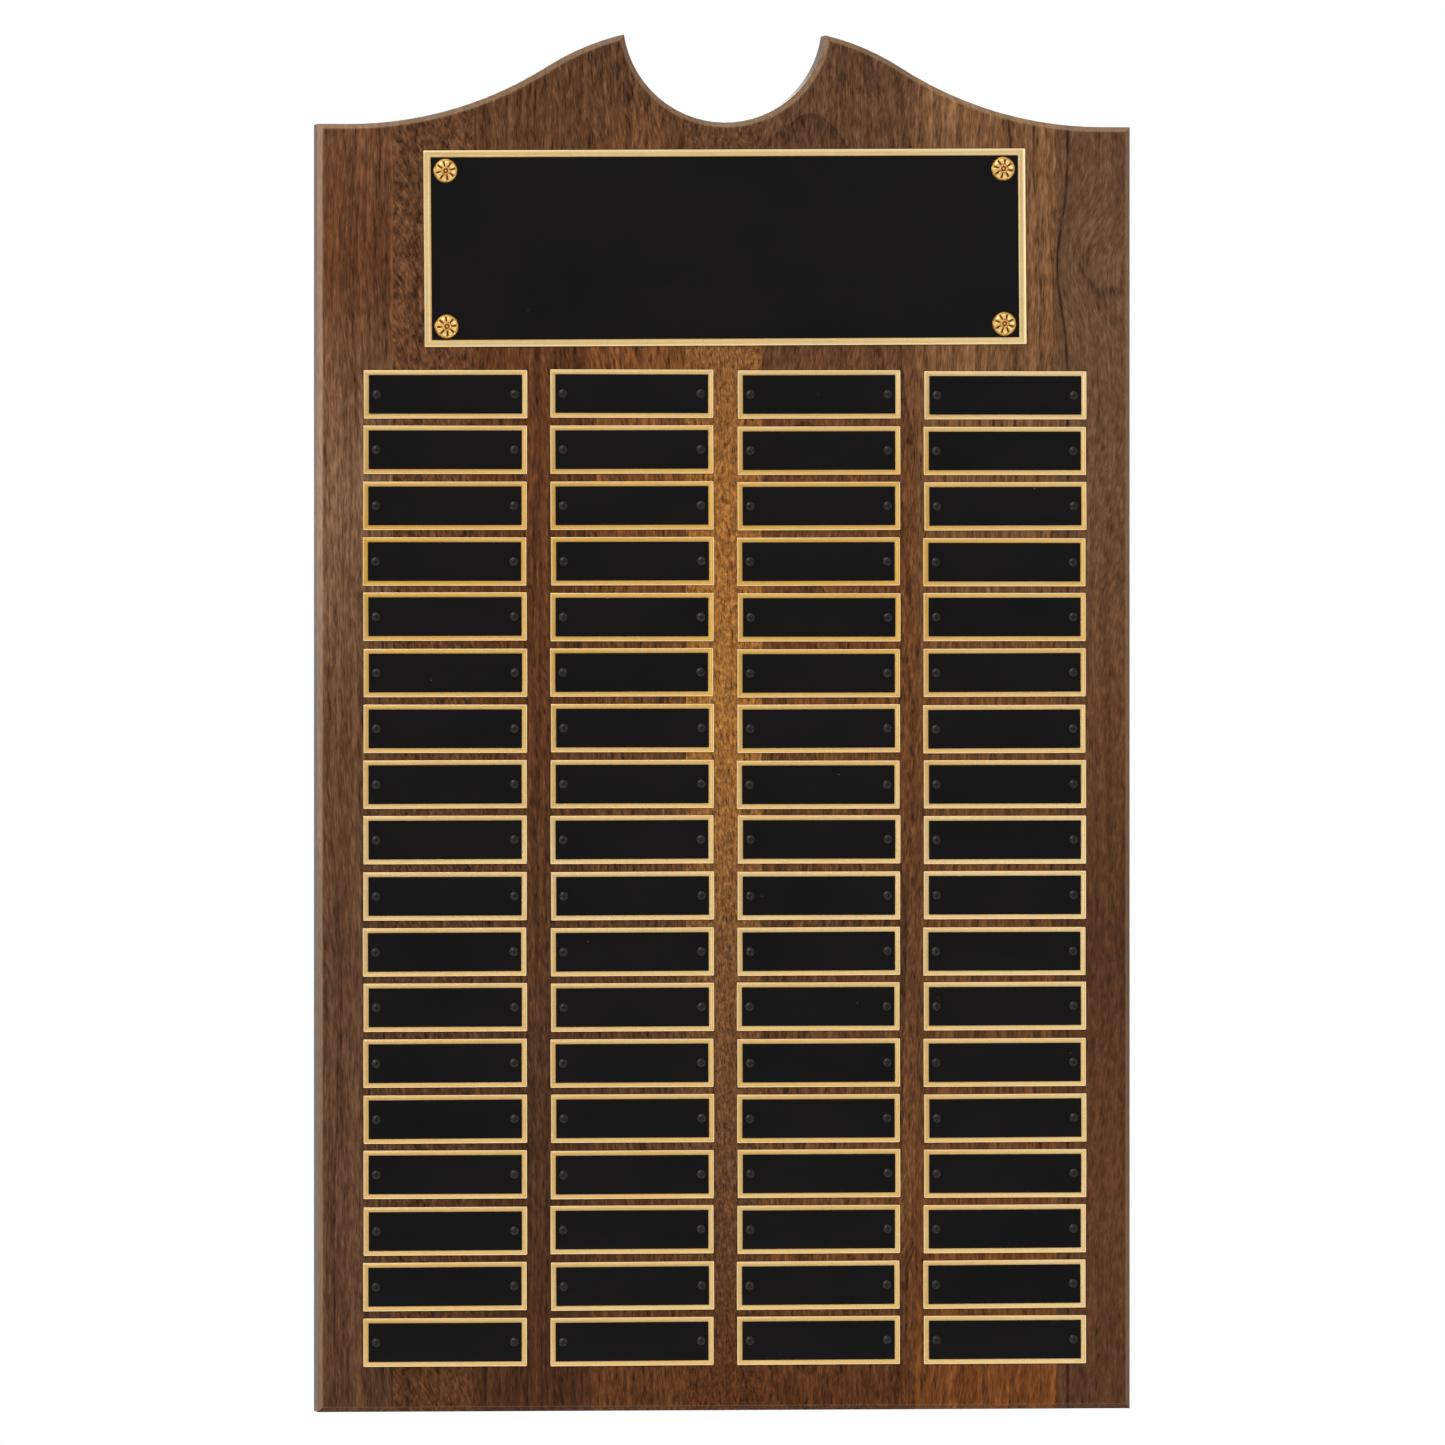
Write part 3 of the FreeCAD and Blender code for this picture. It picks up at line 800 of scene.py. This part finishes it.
def rosette_relief(share, angle):
    """At a share of the radius: the height, and how much painted shade the metal gets or, below 0, how much
    painted highlight.
    """
    span = smooth(share, *PETAL_START) * (1 - smooth(share, *PETAL_END))
    ridge = 1 - abs(2 * ((PETALS * angle / (2 * math.pi)) % 1.0) - 1)
    petal = PETAL_HEIGHT * span * (smooth(ridge, 0.0, 0.5) - PETAL_SINK)
    height = RIM_HEIGHT + DOME_HEIGHT * (1 - share**3) + petal
    height += band(share, *RIM_BEAD) + band(share, *HUB_RING) + band(share, *BUTTON)
    height *= 1 - (1 - FALL_FLOOR) * smooth(share, *EDGE_FALL)
    # Painted shade beside each ridge and in the dimple and moat, painted highlight on the ridges, hub and
    # button.
    beside = span * (1 - smooth(ridge, *SHADE_END))
    painted_shade = max(beside, band(share, *DIMPLE_SHADE), band(share, *MOAT_SHADE))
    painted_highlight = PETAL_HIGHLIGHT * span * smooth(ridge, *HIGHLIGHT_START)
    painted_highlight += band(share, *HUB_HIGHLIGHT) + band(share, *BUTTON_HIGHLIGHT)
    return height * TACK_HEIGHT / PROFILE_HEIGHT, painted_shade - painted_highlight


def add_ring(bm, centre, radius, levels, turn):
    """A ring of vertices round a tack's axis, one at each of the levels along Y."""
    ring = []
    for step, level in enumerate(levels):
        angle = turn + 2 * math.pi * step / len(levels)
        x = centre.x + radius * MM * math.cos(angle)
        z = centre.z + radius * MM * math.sin(angle)
        ring.append(bm.verts.new((x, level, z)))
    return ring


def build_rosette(corner, brass):
    """A stamped rosette on a nail: eight petals inside a plain rim, round a hub with a dimple."""
    node = "rosette_tack_" + corner
    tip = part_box(node)[1][1]
    points = cad_points(node)
    seat = min(p.y for p in points) + TACK_HEIGHT * MM
    centre = middle_of([p for p in points if p.y < seat])
    turn = math.radians(ROSETTE_TURNS[corner])
    bm = bmesh.new()
    layer = bm.verts.layers.float.new("painted_shading")
    middle = bm.verts.new((centre.x, seat - rosette_relief(0.0, 0.0)[0] * MM, centre.z))
    rings = []
    angles = [2 * math.pi * step / ROSETTE_CORNERS for step in range(ROSETTE_CORNERS)]
    for number in range(1, ROSETTE_RINGS + 1):
        share = number / ROSETTE_RINGS
        relief = [rosette_relief(share, angle) for angle in angles]
        levels = [seat - height * MM for height, _ in relief]
        rings.append(add_ring(bm, centre, share * TACK_RADIUS, levels, turn))
        # Each vertex keeps its painted shade or, below 0, its painted highlight.
        for vertex, (_, painted_shading) in zip(rings[-1], relief):
            vertex[layer] = painted_shading
    point = tip - NAIL_POINT * MM
    behind = [(BACK_RADIUS, seat), (NAIL_RADIUS, seat), (NAIL_RADIUS, point), (TIP_RADIUS, tip)]
    for radius, level in behind:
        rings.append(add_ring(bm, centre, radius, [level] * ROSETTE_CORNERS, turn))
    for step in range(ROSETTE_CORNERS):
        bm.faces.new((middle, rings[0][step], rings[0][(step + 1) % ROSETTE_CORNERS]))
    for inner, outer in zip(rings, rings[1:]):
        bridge(bm, inner, outer)
    bm.faces.new(rings[-1])
    new_piece("stamped_rosette_" + corner, bm, brass, node, crease=60)


# ---------------------------------------------------------------- the whole plaque


def dress(node, material):
    """Gives a CAD node that keeps its shape a better material."""
    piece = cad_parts[node]
    for place in range(len(piece.data.materials)):
        piece.data.materials[place] = material


def build_object():
    for number, look in enumerate(STAVE_LOOKS, start=1):
        dress(f"walnut_stave_{number}", walnut(number, look))
    brass, lacquer, oxide, zinc = plate_brass(), black_lacquer(), black_oxide(), zinc_steel()
    build_name_plates(brass, lacquer)
    build_header(brass, lacquer)
    rosette = rosette_brass()
    for corner in ROSETTE_TURNS:
        build_rosette(corner, rosette)
    for column in range(1, COLUMNS + 1):
        dress(f"plate_screws_column_{column}", oxide)
    for side in ("left", "right"):
        dress("keyhole_hanger_" + side, zinc)
        dress("hanger_screws_" + side, zinc)


# ---------------------------------------------------------------- studio


FLOOR_DROP_M = 0.25
FLOOR_SIZE_M = 5.0
FLOOR_MOTTLE_CELL = (300, 300, 300)
SKY_BELOW = 0.22
SKY_ABOVE = 0.95
CAMERA_DISTANCE_M = 8.0
CAMERA_YAW = 7.0
CAMERA_AIM_M = Vector((0.001, 0.0, 0.0))
VIEW_WIDTH_M = 0.6685


def build_floor():
    low = CAD_BOX[0][2] - FLOOR_DROP_M
    half = FLOOR_SIZE_M / 2
    mesh = bpy.data.meshes.new("studio_floor")
    corners = [(-half, -half, low), (half, -half, low), (half, half, low), (-half, half, low)]
    mesh.from_pydata(corners, [], [(0, 1, 2, 3)])
    floor = bpy.data.objects.new("studio_floor", mesh)
    bpy.context.scene.collection.objects.link(floor)
    g = Graph("pale_floor")
    mottle = g.noise(g.in_cells(g.place(), FLOOR_MOTTLE_CELL), 3.0)
    colour = g.mix(mottle, (0.78, 0.78, 0.77, 1), (0.82, 0.82, 0.81, 1))
    mesh.materials.append(g.finish(Base_Color=colour, Roughness=0.8))


def area_light(name, place, size, power):
    """A square light that faces the plaque's middle. Its place and size are in metres."""
    light = bpy.data.lights.new(name, "AREA")
    light.size = size
    light.energy = power
    lamp = bpy.data.objects.new(name, light)
    lamp.location = place
    lamp.rotation_euler = (-Vector(place)).to_track_quat("-Z", "Y").to_euler()
    lamp.visible_camera = False
    bpy.context.scene.collection.objects.link(lamp)


def build_world():
    """A white background, and a soft sky for everything it lights: bright overhead, dimmer below."""
    world = bpy.data.worlds.new("studio")
    bpy.context.scene.world = world
    world.use_nodes = True
    tree = world.node_tree
    tree.nodes.clear()
    coordinate = tree.nodes.new("ShaderNodeTexCoord")
    split = tree.nodes.new("ShaderNodeSeparateXYZ")
    tree.links.new(coordinate.outputs["Generated"], split.inputs[0])
    sky = tree.nodes.new("ShaderNodeMapRange")
    sky.inputs["From Min"].default_value = -1.0
    sky.inputs["To Min"].default_value = SKY_BELOW
    sky.inputs["To Max"].default_value = SKY_ABOVE
    tree.links.new(split.outputs[2], sky.inputs["Value"])
    path = tree.nodes.new("ShaderNodeLightPath")
    soft = tree.nodes.new("ShaderNodeBackground")
    tree.links.new(sky.outputs[0], soft.inputs["Strength"])
    white = tree.nodes.new("ShaderNodeBackground")
    both = tree.nodes.new("ShaderNodeMixShader")
    out = tree.nodes.new("ShaderNodeOutputWorld")
    for background in (soft, white):
        background.inputs["Color"].default_value = (1, 1, 1, 1)
    tree.links.new(path.outputs["Is Camera Ray"], both.inputs[0])
    tree.links.new(soft.outputs[0], both.inputs[1])
    tree.links.new(white.outputs[0], both.inputs[2])
    tree.links.new(both.outputs[0], out.inputs[0])


def build_camera():
    camera = bpy.data.cameras.new("camera")
    camera.sensor_width = 36.0
    camera.lens = camera.sensor_width * CAMERA_DISTANCE_M / VIEW_WIDTH_M
    camera.clip_end = 100.0
    holder = bpy.data.objects.new("camera", camera)
    yaw = math.radians(CAMERA_YAW)
    holder.location = CAMERA_AIM_M + CAMERA_DISTANCE_M * Vector((-math.sin(yaw), -math.cos(yaw), 0))
    holder.rotation_euler = (math.pi / 2, 0, -yaw)
    bpy.context.scene.collection.objects.link(holder)
    bpy.context.scene.camera = holder


def build_studio():
    bpy.context.scene.view_settings.view_transform = "Standard"
    build_floor()
    build_world()
    area_light("key_upper_left", (-1.4, -2.3, 2.3), 1.6, 52)
    area_light("fill_right", (1.8, -2.6, 0.6), 1.6, 10)
    area_light("edge_left", (-3.0, -0.5, 0.5), 1.2, 32)
    area_light("overhead", (0.0, -0.3, 2.6), 1.4, 15)
    area_light("back", (0.6, 2.8, 1.6), 1.8, 46)
    build_camera()


build_object()
build_studio()
